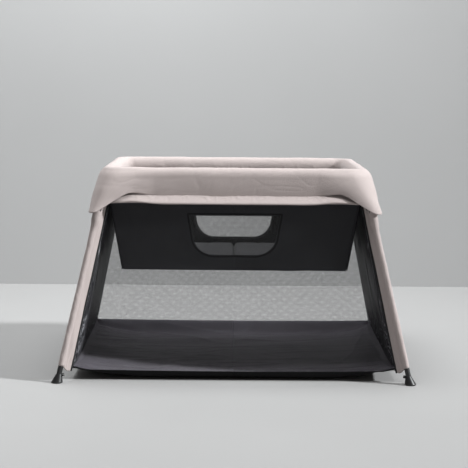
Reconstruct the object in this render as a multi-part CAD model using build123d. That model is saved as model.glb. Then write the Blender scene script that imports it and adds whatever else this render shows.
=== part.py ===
from build123d import *
import os

os.makedirs("parts", exist_ok=True)

# A folding playpen with a hanging bassinet. Millimetres. +X is the long direction, -Y the front,
# +Z up. The origin is on the floor under the middle. The left half is -X, the right half +X.

# --- driving dimensions -------------------------------------------------------------------
RIM_HALF_LENGTH = 392.0      # rim centre line to the middle, along X
RIM_HALF_WIDTH = 258.0       # rim centre line to the middle, along Y
RIM_CORNER = 60.0            # corner radius of the rim centre line, in plan
RIM_TOP = 644.0
RIM_BOTTOM = 535.0
RIM_THICK = 52.0             # the padded rim across, cover included
RIM_ROLL = 22.0              # radius of the rounded top edges
COVER_SKIN = 2.0

RAIL_Z = 600.0
RAIL_R = 11.0
RAIL_WALL = 1.5
RAIL_END_X = 16.0            # where a rail tube ends, beside the centre hinge

PIVOT_X, PIVOT_Y, PIVOT_Z = 414.0, 300.0, 520.0   # leg pivot
ANKLE_X, ANKLE_Y, ANKLE_Z = 523.6, 374.0, 44.0    # leg axis at the top of the foot
FOOT_X, FOOT_Y = 533.5, 380.0                     # middle of the foot on the floor
# A folded leg lies along the end rail. Per unit of its length it turns in towards the middle and
# drops. The front legs turn in more than the rear ones, so that the two of one end pass each other.
FRONT_TOE_IN, FRONT_DROP = 0.24, 0.07
REAR_TOE_IN, REAR_DROP = 0.05, 0.15
LEG_R = 7.0
LEG_WALL = 1.3

HINGE_Z = 632.0              # centre hinge pin, just under the top of the rim
HINGE_R = 7.5
HINGE_PIN_R = 3.0
BRACKET_X = 58.0             # length of a hinge bracket from the middle
BRACKET_HALF_Y = 14.0
BRACKET_LOW, BRACKET_HIGH = 584.0, 622.0

WALL_TOP_X, WALL_TOP_Y, WALL_TOP_Z = 388.0, 270.0, 530.0    # corner of the body under the rim
WALL_LOW_X, WALL_LOW_Y, WALL_LOW_Z = 492.0, 346.0, 34.0     # corner of the body at the base
MESH_THICK = 1.5
BASE_SAG_X, BASE_SAG_Z = 400.0, 18.0                        # the base hangs lower off the corners
BASE_MIDDLE_Z = 12.0
BASE_THICK = 5.0

BASSINET_TOP_X, BASSINET_TOP_Y, BASSINET_TOP_Z = 385.0, 245.0, 533.0
BASSINET_LOW_X, BASSINET_LOW_Y, BASSINET_LOW_Z = 349.0, 215.0, 328.0
PANEL_THICK = 2.0
WINDOW_HALF = 140.0          # the D-shaped window, half its width at the top
WINDOW_TOP_Z, WINDOW_LOW_Z = 496.0, 373.0
WINDOW_DRAW_IN = 22.0        # how far its sides draw in above the round corners
WINDOW_CORNER = 62.0
MATTRESS_THICK = 32.0

SIDES = {"left": -1, "right": 1}
ENDS = {"front": -1, "rear": 1}
FOLDS = {-1: (FRONT_TOE_IN, FRONT_DROP), 1: (REAR_TOE_IN, REAR_DROP)}
MID_GAP = 0.4                # half the gap where soft parts of the two halves meet


def save(name, *solids):
    """Write one node as a STEP file, as one solid or as a group of separate ones."""
    parts = [s for item in solids for s in item.solids()]
    shape = parts[0] if len(parts) == 1 else Compound(children=parts)
    shape.label = name
    export_step(shape, f"parts/{name}.step")


def prism(points, thickness):
    """A flat panel: the polygon through points, thickened by the vector thickness."""
    face = Face(Wire.make_polygon([Vector(*p) for p in points], close=True))
    return Solid.extrude(face, Vector(*thickness))


def rod(start, end, radius):
    """A round bar from start to end."""
    a, b = Vector(*start), Vector(*end)
    plane = Plane(origin=a, z_dir=b - a)
    return extrude(plane * Circle(radius), (b - a).length)


def mirrored(shape, x, y):
    """The shape built for the right rear corner, reflected to the side x and the end y."""
    if x < 0:
        shape = mirror(shape, about=Plane.YZ)
    if y < 0:
        shape = mirror(shape, about=Plane.XZ)
    return shape


# --- rim ----------------------------------------------------------------------------------
def rim_path(start_x):
    """Half of the rim's centre line, on the right side, from start_x round the end."""
    return FilletPolyline(
        (start_x, -RIM_HALF_WIDTH), (RIM_HALF_LENGTH, -RIM_HALF_WIDTH),
        (RIM_HALF_LENGTH, RIM_HALF_WIDTH), (start_x, RIM_HALF_WIDTH), radius=RIM_CORNER)


def swept(section, start_x):
    """A section, drawn with its height along Y about RAIL_Z, swept round half of the rim."""
    path = rim_path(start_x)
    plane = Plane(origin=path @ 0, x_dir=(0, 1, 0), z_dir=(1, 0, 0))
    return Pos(0, 0, RAIL_Z) * sweep(plane * section, path)


def rim_section(inset, low):
    """The rounded section of the rim, drawn in from the cover's outside by inset."""
    half, top = RIM_THICK / 2 - inset, RIM_TOP - inset - RAIL_Z
    box = Pos(0, (top + low - RAIL_Z) / 2) * Rectangle(2 * half, top - low + RAIL_Z)
    tops = box.vertices().sort_by(Axis.Y)[-2:]
    return fillet(tops, RIM_ROLL - inset)


def rail_tube():
    ring = Circle(RAIL_R) - Circle(RAIL_R - RAIL_WALL)
    return swept(ring, RAIL_END_X)


def rail_space():
    """The space that a rail tube fills, bore included."""
    return swept(Circle(RAIL_R), RAIL_END_X)


# --- legs and corner joints ---------------------------------------------------------------
def leg_lines(end):
    """Pivot, leg direction, folded direction and hinge axis of a leg, drawn at the right rear."""
    toe_in, drop = FOLDS[end]
    pivot = Vector(PIVOT_X, PIVOT_Y, PIVOT_Z)
    down = (Vector(ANKLE_X, ANKLE_Y, ANKLE_Z) - pivot).normalized()
    folded = Vector(-toe_in, -1, -drop).normalized()
    axis = down.cross(folded).normalized()
    return pivot, down, folded, axis


LUG_R, LUG_HALF = 11.0, 5.9
EAR_IN, EAR_OUT = 6.2, 11.2                     # inner and outer face of an ear, along the pin
TONGUE_HALF, TONGUE_LONG = 5.0, 20.0
PLUG_LONG = 18.0                                # the part of the lug that is inside the leg
LEG_PIN_R, PIN_HEAD, PIN_CLEARANCE = 4.0, 2.0, 0.05
ARM_R, ARM_START, EAR_LONG = 9.0, 17.0, 24.0
ARM_CLEARANCE = 0.5
CORNER_BLOCK_R, CORNER_BLOCK_HALF = 20.0, 17.0
BEND_SHARE = 1 - 0.5 ** 0.5                     # the middle of a round corner, in from its point
CORNER_X = RIM_HALF_LENGTH - RIM_CORNER * BEND_SHARE
CORNER_Y = RIM_HALF_WIDTH - RIM_CORNER * BEND_SHARE


def across(plane, radius, half):
    """A round bar along the plane's X, centred on its origin."""
    return plane * (Rot(0, 90, 0) * Cylinder(radius, 2 * half))


def leg_lug(end):
    """The eye at the top of a leg, with the plug that is fixed in the tube."""
    pivot, down, _, axis = leg_lines(end)
    plane = Plane(origin=pivot, x_dir=axis, z_dir=-down)
    tongue = Pos(0, 0, -TONGUE_LONG / 2) * Box(2 * LUG_HALF, 2 * TONGUE_HALF, TONGUE_LONG)
    plug = Pos(0, 0, -TONGUE_LONG - PLUG_LONG / 2) * Cylinder(LEG_R - LEG_WALL, PLUG_LONG)
    lug = across(plane, LUG_R, LUG_HALF) + plane * tongue + plane * plug
    return lug - across(plane, LEG_PIN_R + PIN_CLEARANCE, EAR_OUT)


def leg_pin(end):
    pivot, down, _, axis = leg_lines(end)
    plane = Plane(origin=pivot, x_dir=axis, z_dir=-down)
    head_middle = axis * (EAR_OUT + PIN_HEAD / 2)
    head = Pos(*head_middle) * across(plane, LEG_PIN_R + PIN_HEAD, PIN_HEAD / 2)
    return across(plane, LEG_PIN_R, EAR_OUT) + head


def arm_plane(end):
    """Plane at the pivot, with X on the hinge axis and Z up the arm to the rim's corner."""
    pivot, _, _, axis = leg_lines(end)
    to_corner = Vector(CORNER_X, CORNER_Y, RAIL_Z) - pivot
    up = to_corner - axis * to_corner.dot(axis)
    return Plane(origin=pivot, x_dir=axis, z_dir=up), up.length


def corner_joint(end):
    """Block clamped round the rail's bend, with an arm down to the two ears of the leg pivot."""
    plane, reach = arm_plane(end)
    block = Pos(CORNER_X, CORNER_Y, RAIL_Z) * Cylinder(CORNER_BLOCK_R, 2 * CORNER_BLOCK_HALF)
    arm_long = reach - ARM_START
    arm = plane * (Pos(0, 0, ARM_START + arm_long / 2) * Cylinder(ARM_R, arm_long))
    joint = block + arm
    for side in (-1, 1):
        middle = side * (EAR_IN + EAR_OUT) / 2
        ear = Pos(middle, 0, EAR_LONG / 2) * Box(EAR_OUT - EAR_IN, 2 * ARM_R, EAR_LONG)
        disc = Pos(middle, 0, 0) * Rot(0, 90, 0) * Cylinder(LUG_R, EAR_OUT - EAR_IN)
        joint += plane * ear + plane * disc
    joint -= across(plane, LEG_PIN_R, EAR_OUT)
    return joint - rail_space()


FOOT_TOP_Z, COLLAR_LOW_Z, COLLAR_R = 50.0, 26.0, 8.0
TUBE_LOW_Z = 32.0
NECK_Z, NECK_R = 27.0, 8.4                      # where the flared part starts
SOLE_R, SOLE_Z, SOLE_ROUND = 17.0, 4.0, 2.0
HOOK_Z, HOOK_R, HOOK_LONG = 22.0, 3.0, 15.0     # the hook that the fabric's loop goes over
HOOK_OUT_X, HOOK_OUT_Y = 1.5, 1.0
KNOB_R, KNOB_START, KNOB_END = 4.5, 14.0, 19.0


def on_leg(z):
    """Point on the right rear leg's axis at height z."""
    t = (z - PIVOT_Z) / (ANKLE_Z - PIVOT_Z)
    return Vector(PIVOT_X + t * (ANKLE_X - PIVOT_X), PIVOT_Y + t * (ANKLE_Y - PIVOT_Y), z)


def leg_tube(end):
    pivot, down, _, _ = leg_lines(end)
    top, low = pivot + down * TONGUE_LONG, on_leg(TUBE_LOW_Z)
    return rod(top, low, LEG_R) - rod(top, low, LEG_R - LEG_WALL)


def foot():
    """Collar over the tube's end, a flared sole and the fabric hook on its inner side."""
    collar = rod(on_leg(FOOT_TOP_Z), on_leg(COLLAR_LOW_Z), COLLAR_R)
    neck = Plane(origin=on_leg(NECK_Z)) * Circle(NECK_R)
    sole = Plane(origin=(FOOT_X, FOOT_Y, SOLE_Z)) * Circle(SOLE_R)
    flare = loft([neck, sole])
    pad = Pos(FOOT_X, FOOT_Y, SOLE_Z / 2) * Cylinder(SOLE_R, SOLE_Z)
    pad = fillet(pad.edges().sort_by(Axis.Z)[0], SOLE_ROUND)
    inward = Vector(-0.8, -0.6, 0)
    hook_start = on_leg(HOOK_Z) + Vector(HOOK_OUT_X, HOOK_OUT_Y, 0)
    hook = rod(hook_start, hook_start + inward * HOOK_LONG, HOOK_R)
    knob = rod(hook_start + inward * KNOB_START, hook_start + inward * KNOB_END, KNOB_R)
    tube_space = rod(on_leg(FOOT_TOP_Z + 1), on_leg(TUBE_LOW_Z), LEG_R)
    return collar + flare + pad + hook + knob - tube_space


SLEEVE_R = 8.2
SLEEVE_START, SLEEVE_LOW_Z = 26.0, 51.0         # down the leg from its pivot, and above the floor
FIN_THICK, FIN_GAP = 1.6, 5.0
FIN_LOW_Z = 43.0                                # the fin's lower inner corner
FOOT_SPACE_R = 12.0
SEAM_OUT = 4.5                                  # the body's corner seam, out from the walls
SEAM_TOP_Z, SEAM_LOW_Z = 516.0, 38.0


def on_seam(z):
    """Point at height z on the corner seam, which joins the sleeve's fin to the body."""
    low = Vector(WALL_LOW_X + SEAM_OUT - 1, WALL_LOW_Y + SEAM_OUT - 1, SEAM_LOW_Z)
    top = Vector(WALL_TOP_X + SEAM_OUT, WALL_TOP_Y + SEAM_OUT, SEAM_TOP_Z)
    return low + (top - low) * ((z - SEAM_LOW_Z) / (SEAM_TOP_Z - SEAM_LOW_Z))


def leg_sleeve(end):
    """Fabric tube round the leg, with a flat fin towards the body's corner."""
    pivot, down, _, _ = leg_lines(end)
    top, low = pivot + down * SLEEVE_START, on_leg(SLEEVE_LOW_Z)
    inner_top, inner_low = on_seam(top.Z), on_seam(FIN_LOW_Z)
    inner_top += (top - inner_top).normalized() * FIN_GAP
    inner_low += (low - inner_low).normalized() * FIN_GAP
    normal = (inner_low - top).cross(inner_top - low).normalized() * FIN_THICK
    sleeve = rod(top, low, SLEEVE_R)
    sleeve += prism([tuple(top), tuple(inner_top), tuple(inner_low)], tuple(normal))
    sleeve += prism([tuple(top), tuple(inner_low), tuple(low)], tuple(normal))
    return sleeve - rod(pivot, on_leg(0), LEG_R) - rod(on_leg(FOOT_TOP_Z), on_leg(0), FOOT_SPACE_R)


# --- centre hinges ------------------------------------------------------------------------
KNUCKLE_IN, KNUCKLE_OUT = 6.5, 13.0             # the outer knuckles, along the pin
KNUCKLE_PLAY = 0.2
WEB_LONG, WEB_OVERLAP = 24.0, 4.0
BRACKET_ROUND = 3.0
PIN_LONG, HINGE_HEAD_R, HINGE_HEAD = 26.0, 4.8, 2.0
BUTTON_X, BUTTON_R, BUTTON_CLEARANCE = -8.0, 5.0, 0.06
BUTTON_LONG, BUTTON_PROUD, BUTTON_POCKET, BUTTON_ROUND = 7.5, 3.0, 8.5, 1.2
RIVET_X, RIVET_R, RIVET_HEAD_R, RIVET_HEAD = 42.0, 2.5, 4.0, 1.5
THROUGH = 80.0                                  # longer than any hole through a bracket


def along_y(x, y, z, radius, long):
    return Pos(x, y, z) * Rot(90, 0, 0) * Cylinder(radius, long)


def hinge_bracket(side, end):
    """Socket on a rail's end. The left one has two outer knuckles and the release button's
    pocket, and the right one has the middle knuckle."""
    y = end * RIM_HALF_WIDTH
    long, high = BRACKET_X - KNUCKLE_PLAY, BRACKET_HIGH - BRACKET_LOW
    middle_x, middle_z = side * (KNUCKLE_PLAY + long / 2), (BRACKET_LOW + BRACKET_HIGH) / 2
    body = Pos(middle_x, y, middle_z) * Box(long, 2 * BRACKET_HALF_Y, high)
    body = fillet(body.edges().filter_by(Axis.X), BRACKET_ROUND)
    middle_knuckle = [(KNUCKLE_PLAY - KNUCKLE_IN, KNUCKLE_IN - KNUCKLE_PLAY)]
    outer_knuckles = [(-KNUCKLE_OUT, -KNUCKLE_IN), (KNUCKLE_IN, KNUCKLE_OUT)]
    web_low = BRACKET_HIGH - WEB_OVERLAP
    for near, far in outer_knuckles if side < 0 else middle_knuckle:
        middle_y, width = y + (near + far) / 2, far - near
        web = Box(WEB_LONG, width, HINGE_Z - web_low)
        body += Pos(side * WEB_LONG / 2, middle_y, (web_low + HINGE_Z) / 2) * web
        body += along_y(0, middle_y, HINGE_Z, HINGE_R, width)
    pin_hole = HINGE_PIN_R if side < 0 else HINGE_PIN_R + PIN_CLEARANCE
    body -= along_y(0, y, HINGE_Z, pin_hole, THROUGH)
    body -= Pos(side * (RAIL_END_X + THROUGH / 2), y, RAIL_Z) * Rot(0, 90, 0) * Cylinder(RAIL_R, THROUGH)
    body -= along_y(side * RIVET_X, y, RAIL_Z, RIVET_R, THROUGH)
    if side < 0:
        pocket_y = y + end * (BRACKET_HALF_Y - BUTTON_POCKET / 2)
        body -= along_y(BUTTON_X, pocket_y, RAIL_Z, BUTTON_R + BUTTON_CLEARANCE, BUTTON_POCKET)
    return body


def hinge_pin(end):
    y = end * RIM_HALF_WIDTH
    head_y = y + end * (PIN_LONG + HINGE_HEAD) / 2
    pin = along_y(0, y, HINGE_Z, HINGE_PIN_R, PIN_LONG)
    return pin + along_y(0, head_y, HINGE_Z, HINGE_HEAD_R, HINGE_HEAD)


def release_button(end):
    middle = end * (RIM_HALF_WIDTH + BRACKET_HALF_Y + BUTTON_PROUD - BUTTON_LONG / 2)
    button = along_y(BUTTON_X, middle, RAIL_Z, BUTTON_R, BUTTON_LONG)
    outer = button.edges().sort_by(Axis.Y)[-1 if end > 0 else 0]
    return fillet(outer, BUTTON_ROUND)


def rivets(side):
    """The two rivets that hold a half's rail tube in its brackets."""
    x, bars = side * RIVET_X, []
    for y in (-RIM_HALF_WIDTH, RIM_HALF_WIDTH):
        bar = along_y(x, y, RAIL_Z, RIVET_R, 2 * BRACKET_HALF_Y)
        for face in (-1, 1):
            head_y = y + face * (BRACKET_HALF_Y + RIVET_HEAD / 2)
            bar += along_y(x, head_y, RAIL_Z, RIVET_HEAD_R, RIVET_HEAD)
        bars.append(bar)
    return bars


# --- soft rim -----------------------------------------------------------------------------
PAD_START_X = 61.0                              # the pads of the two halves just meet when folded
FLAP_TOP_Z, FLAP_LOW_Z = 600.0, 513.0
FLAP_LOW_X, FLAP_LOW_Y, FLAP_LOW_CORNER = 443.0, 329.0, 30.0
FLAP_START_X, FLAP_START_Y = 352.0, 226.0
FLAP_OVER = 3.0                                 # how far a flap's top stands off the cover
HEM_RISE_X, HEM_START_Z = 46.0, 548.0           # a flap's hem rises at both of its sides


def arm_space(end, clearance):
    """The space of a corner joint's arm where it goes through the soft rim."""
    plane, reach = arm_plane(end)
    arm = plane * (Pos(0, 0, reach / 2) * Cylinder(ARM_R + clearance, reach))
    return mirrored(arm, 1, end)


def rim_pad():
    """Foam round half of the rim, with room for the tube and the corner joints."""
    pad = swept(rim_section(COVER_SKIN, RIM_BOTTOM + COVER_SKIN), PAD_START_X) - rail_space()
    block = Pos(CORNER_X, CORNER_Y, RAIL_Z) * Cylinder(CORNER_BLOCK_R, 2 * CORNER_BLOCK_HALF)
    for end in ENDS.values():
        pad -= mirrored(block, 1, end)
        pad -= arm_space(end, 0)
    return pad


def rim_cover():
    """Fabric skin over half of the rim, open underneath."""
    outside = swept(rim_section(0, RIM_BOTTOM), MID_GAP)
    skin = outside - swept(rim_section(COVER_SKIN, RIM_BOTTOM - RIM_THICK), MID_GAP)
    for end in ENDS.values():
        skin -= arm_space(end, ARM_CLEARANCE)
    return skin


def skirt(inset):
    """Block that flares from the rim's corner out over the leg tops."""
    proud = RIM_THICK / 2 + FLAP_OVER - inset
    top = Plane(origin=(0, 0, FLAP_TOP_Z)) * RectangleRounded(
        2 * (RIM_HALF_LENGTH + proud), 2 * (RIM_HALF_WIDTH + proud), RIM_CORNER + proud)
    low = Plane(origin=(0, 0, FLAP_LOW_Z)) * RectangleRounded(
        2 * (FLAP_LOW_X - inset), 2 * (FLAP_LOW_Y - inset), FLAP_LOW_CORNER - inset)
    return loft([top, low])


def corner_flap():
    """The cover's flap over the right rear leg top, with its hem rising to both sides."""
    x, y, z = FLAP_START_X, FLAP_START_Y, FLAP_LOW_Z - 1
    far = 2 * FLAP_LOW_X
    keep = prism([(x, y, 0), (far, y, 0), (far, far, 0), (x, far, 0)], (0, 0, far))
    hem_front = prism([(x - 1, 0, z), (x + HEM_RISE_X, 0, z), (x - 1, 0, HEM_START_Z)], (0, far, 0))
    hem_side = prism([(0, y - 1, z), (0, y + HEM_RISE_X, z), (0, y - 1, HEM_START_Z)], (far, 0, 0))
    return ((skirt(0) - skirt(COVER_SKIN)) & keep) - hem_front - hem_side


# --- body walls and base ------------------------------------------------------------------
END_WALL_INSET = 1.0         # the end walls meet the long walls without overlapping them
BASE_INSET_X, BASE_INSET_Y, BASE_INSET_Z = 4.0, 1.5, 1.0


def long_wall(end):
    """Half of the front or rear mesh wall, on the right, leaning out to the base."""
    slope = (WALL_LOW_Y - WALL_TOP_Y) / (WALL_TOP_Z - WALL_LOW_Z)
    outline = [(MID_GAP, WALL_TOP_Z), (WALL_TOP_X, WALL_TOP_Z), (WALL_LOW_X, WALL_LOW_Z),
               (BASE_SAG_X, BASE_SAG_Z), (MID_GAP, BASE_MIDDLE_Z)]
    points = [(x, end * (WALL_TOP_Y + (WALL_TOP_Z - z) * slope), z) for x, z in outline]
    return prism(points, (0, end * MESH_THICK, 0))


def end_wall():
    """Right end panel of the body, leaning out to the base."""
    top_y, low_y = WALL_TOP_Y - END_WALL_INSET, WALL_LOW_Y - END_WALL_INSET
    points = [(WALL_TOP_X, -top_y, WALL_TOP_Z), (WALL_TOP_X, top_y, WALL_TOP_Z),
              (WALL_LOW_X, low_y, WALL_LOW_Z), (WALL_LOW_X, -low_y, WALL_LOW_Z)]
    return prism(points, (MESH_THICK, 0, 0))


def base_panel():
    """Half of the hanging fabric floor, on the right."""
    half = WALL_LOW_Y - BASE_INSET_Y
    line = [(MID_GAP, BASE_MIDDLE_Z), (BASE_SAG_X, BASE_SAG_Z),
            (WALL_LOW_X - BASE_INSET_X, WALL_LOW_Z - BASE_INSET_Z)]
    under = [(x, -half, z) for x, z in line]
    upper = [(x, -half, z + BASE_THICK) for x, z in reversed(line)]
    return prism(under + upper, (0, 2 * half, 0))


# --- bassinet -----------------------------------------------------------------------------
BASSINET_PLAY = 0.3          # between a long panel and the end panel beside it
FLOOR_PLAY = 0.5
MATTRESS_INSET, MATTRESS_CORNER = 8.0, 25.0


def bassinet_y(z):
    share = (BASSINET_TOP_Z - z) / (BASSINET_TOP_Z - BASSINET_LOW_Z)
    return BASSINET_TOP_Y + share * (BASSINET_LOW_Y - BASSINET_TOP_Y)


def window_space(end):
    """The right half of the D-shaped window, as a block right through one long panel."""
    outline = Polyline((0, WINDOW_TOP_Z), (WINDOW_HALF, WINDOW_TOP_Z),
                       (WINDOW_HALF - WINDOW_DRAW_IN, WINDOW_LOW_Z), (0, WINDOW_LOW_Z), close=True)
    face = make_face(outline)
    low_corner = face.vertices().sort_by(Axis.Y)[:2].sort_by(Axis.X)[-1]
    face = fillet(low_corner, WINDOW_CORNER)
    far = BASSINET_TOP_Y + WINDOW_HALF
    plane = Plane(origin=(0, far if end > 0 else 0, 0), x_dir=(1, 0, 0), z_dir=(0, -1, 0))
    return extrude(plane * face, far)


def bassinet_long_blank(end):
    """Half of a long panel of the bassinet, on the right, before its window is cut."""
    outline = [(MID_GAP, BASSINET_TOP_Z), (BASSINET_TOP_X, BASSINET_TOP_Z),
               (BASSINET_LOW_X, BASSINET_LOW_Z), (MID_GAP, BASSINET_LOW_Z)]
    points = [(x, end * bassinet_y(z), z) for x, z in outline]
    return prism(points, (0, -end * PANEL_THICK, 0))


def bassinet_end():
    inset = PANEL_THICK + BASSINET_PLAY
    top_y, low_y = BASSINET_TOP_Y - inset, BASSINET_LOW_Y - inset
    points = [(BASSINET_TOP_X, -top_y, BASSINET_TOP_Z), (BASSINET_TOP_X, top_y, BASSINET_TOP_Z),
              (BASSINET_LOW_X, low_y, BASSINET_LOW_Z), (BASSINET_LOW_X, -low_y, BASSINET_LOW_Z)]
    return prism(points, (-PANEL_THICK, 0, 0))


def right_slab(inset, low_z, thick):
    """A flat block that fills the right half of the bassinet's bottom, drawn in by inset."""
    long, wide = BASSINET_LOW_X - inset - MID_GAP, 2 * (BASSINET_LOW_Y - inset)
    return Pos(MID_GAP + long / 2, 0, low_z + thick / 2) * Box(long, wide, thick)


def bassinet_floor():
    return right_slab(PANEL_THICK + FLOOR_PLAY, BASSINET_LOW_Z, PANEL_THICK)


def mattress():
    low_z = BASSINET_LOW_Z + PANEL_THICK + BASSINET_PLAY
    pad = right_slab(MATTRESS_INSET, low_z, MATTRESS_THICK)
    return fillet(pad.edges().filter_by(Axis.Z).sort_by(Axis.X)[-2:], MATTRESS_CORNER)


# --- nodes --------------------------------------------------------------------------------
def save_half(side_name, x):
    """The nodes of one half that run round or across it."""
    tube = rail_tube()
    for y in (-RIM_HALF_WIDTH, RIM_HALF_WIDTH):
        tube -= along_y(RIVET_X, y, RAIL_Z, RIVET_R, THROUGH)
    flap = corner_flap()
    one_piece = {"rail_tube": tube, "rim_pad": rim_pad(), "rim_cover": rim_cover(),
                 "end_wall": end_wall(), "base_panel": base_panel(),
                 "bassinet_end": bassinet_end(), "bassinet_floor": bassinet_floor(),
                 "mattress_half": mattress()}
    for name, shape in one_piece.items():
        save(f"{side_name}_{name}", mirrored(shape, x, 1))
    save(f"{side_name}_rivets", *rivets(x))
    save(f"{side_name}_leg_pins", *[mirrored(leg_pin(y), x, y) for y in ENDS.values()])
    save(f"{side_name}_corner_flaps", *[mirrored(flap, x, y) for y in ENDS.values()])
    windows = [bassinet_long_blank(y) & window_space(y) for y in ENDS.values()]
    save(f"{side_name}_window_meshes", *[mirrored(window, x, 1) for window in windows])


def save_corner(name, x, y):
    """The nodes of one corner: its joint and leg, and its quarter of the long panels."""
    save(f"{name}_corner_joint", mirrored(corner_joint(y), x, y))
    save(f"{name}_leg_lug", mirrored(leg_lug(y), x, y))
    save(f"{name}_leg_tube", mirrored(leg_tube(y), x, y))
    save(f"{name}_leg_sleeve", mirrored(leg_sleeve(y), x, y))
    save(f"{name}_foot", mirrored(foot(), x, y))
    save(f"{name}_hinge_bracket", hinge_bracket(x, y))
    save(f"{name}_wall", mirrored(long_wall(y), x, 1))
    save(f"{name}_bassinet_panel", mirrored(bassinet_long_blank(y) - window_space(y), x, 1))


for side_name, x in SIDES.items():
    save_half(side_name, x)
    for end_name, y in ENDS.items():
        save_corner(f"{end_name}_{side_name}", x, y)
for end_name, y in ENDS.items():
    save(f"{end_name}_release_button", release_button(y))
save("centre_hinge_pins", *[hinge_pin(y) for y in ENDS.values()])

for end_name, y in ENDS.items():
    pivot, down, folded, axis = leg_lines(y)
    numbers = ", ".join(f"{v:.6f}" for v in axis)
    print(f"{end_name} legs fold {down.get_angle(folded):.3f} degrees about ({numbers})")
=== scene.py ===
import math

import bmesh
import bpy
import numpy as np
from mathutils import Matrix, Vector


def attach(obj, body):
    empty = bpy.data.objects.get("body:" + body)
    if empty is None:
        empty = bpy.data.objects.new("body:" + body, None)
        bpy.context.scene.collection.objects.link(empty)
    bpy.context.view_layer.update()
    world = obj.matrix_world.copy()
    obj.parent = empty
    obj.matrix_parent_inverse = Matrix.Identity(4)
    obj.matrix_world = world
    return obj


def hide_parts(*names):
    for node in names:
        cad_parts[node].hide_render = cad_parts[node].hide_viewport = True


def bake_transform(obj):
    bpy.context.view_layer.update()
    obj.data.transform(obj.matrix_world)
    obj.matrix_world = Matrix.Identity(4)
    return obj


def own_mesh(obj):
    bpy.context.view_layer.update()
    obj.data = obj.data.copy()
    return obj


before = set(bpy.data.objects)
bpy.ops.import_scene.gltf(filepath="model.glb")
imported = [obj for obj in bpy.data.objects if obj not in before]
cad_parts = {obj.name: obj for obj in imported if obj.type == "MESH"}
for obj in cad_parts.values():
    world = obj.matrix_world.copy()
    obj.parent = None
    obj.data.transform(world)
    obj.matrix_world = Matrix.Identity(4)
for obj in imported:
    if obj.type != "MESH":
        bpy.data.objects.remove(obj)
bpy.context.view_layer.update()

SIDES = {"left": -1, "right": 1}
ENDS = {"front": -1, "rear": 1}
CORNERS = [(f"{e}_{s}", sx, sy) for s, sx in SIDES.items() for e, sy in ENDS.items()]

# --- driving dimensions, in metres, in the frame of the CAD ---------------------------------
RIM_X, RIM_Y, RIM_CORNER = 0.392, 0.258, 0.048      # centre line of the rim
RIM_HALF, RIM_TOP = 0.026, 0.644
ROLL_Z = 0.612                                      # where the rounded top of the rim begins
HEM_Z, HEM_RISE, FLAP_Z = 0.5535, 0.014, 0.5095      # lower edge of the cover
FLAP_X, FLAP_Y, FLAP_CORNER = 0.4450, 0.3310, 0.026
FLARE_Z = 0.636                                     # where the flaps begin to stand off
PIVOT = np.array([0.414, 0.300, 0.520])
ANKLE = np.array([0.5236, 0.374, 0.044])
WALL_TOP = np.array([0.388, 0.270, 0.533])
WALL_LOW = np.array([0.492, 0.346, 0.034])
BASE_LOW_Z = 0.0105
BORDER_TOP = {-1: 0.034, 1: 0.054}                  # the base's border, in front and at the rear
BASSINET_TOP = np.array([0.385, 0.245, 0.535])
BASSINET_LOW = np.array([0.351, 0.215, 0.322])
WINDOW_HALF, WINDOW_TOP_Z, WINDOW_LOW_Z = 0.141, 0.495, 0.371
WINDOW_DRAW_IN, WINDOW_CORNER = 0.022, 0.062
MATTRESS_Z, MATTRESS_THICK = 0.3235, 0.032
CHANNEL_GAP = 0.085                                 # between the mattress's sewn channels


# --- small numeric helpers ------------------------------------------------------------------
def smooth(t):
    """0 below 0, 1 above 1, and an S-shaped curve between."""
    t = np.clip(t, 0, 1)
    return t * t * (3 - 2 * t)


def hump(t):
    """1 where t is 0, falling to nothing on both sides."""
    return np.exp(-(t**2))


def crowded(t, power):
    """Places from -1 to 1, moved closer together towards both ends."""
    return np.sign(t) * (1 - (1 - np.abs(t)) ** power)


def unit(v):
    """Vectors of length 1 along v."""
    return v / np.maximum(np.linalg.norm(v, axis=-1, keepdims=True), 1e-12)


def ripple(p, length, seed, waves=14):
    """Smooth random height of about -1 to 1 at points p, whose bumps are about length across.
    length may be three numbers, for bumps that are longer one way."""
    rng = np.random.default_rng(seed)
    k = unit(rng.normal(size=(waves, 3))) * rng.uniform(0.6, 1.4, (waves, 1))
    phase = rng.uniform(0, 2 * math.pi, waves)
    q = p / np.asarray(length, float) * 2 * math.pi
    return np.cos(q @ k.T + phase).sum(-1) / math.sqrt(waves)


def creases(p, length, seed, width=0.22):
    """Random creases: thin ridges of height 0 to 1 with soft ground between them."""
    warp = np.stack([ripple(p, np.asarray(length) * 2, seed + i) for i in (1, 2, 3)], -1)
    field = ripple(p + warp * np.asarray(length) * 0.25, length, seed)
    return hump(field / width)


def normals_of(grid, closed_u=False):
    """Unit normals of a grid of points, from its neighbours along both directions."""
    along = np.roll(grid, -1, 0) - np.roll(grid, 1, 0) if closed_u else np.gradient(grid, axis=0)
    return unit(np.cross(along, np.gradient(grid, axis=1)))


def run_length(points, closed=False):
    """Distance along a line of points, one number a point, and one more if it is closed."""
    line = np.vstack([points, points[:1]]) if closed else points
    return np.concatenate([[0], np.cumsum(np.linalg.norm(np.diff(line, axis=0), axis=1))])


def points_at(places, s, line):
    """Points of a line at places along it. s gives the distances of the line's own points."""
    return np.stack([np.interp(places, s, line[:, k]) for k in range(line.shape[1])], -1)


# --- mesh helpers ---------------------------------------------------------------------------
def add_object(name, data):
    """An object with this data, in the scene."""
    obj = bpy.data.objects.new(name, data)
    bpy.context.scene.collection.objects.link(obj)
    return obj


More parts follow.
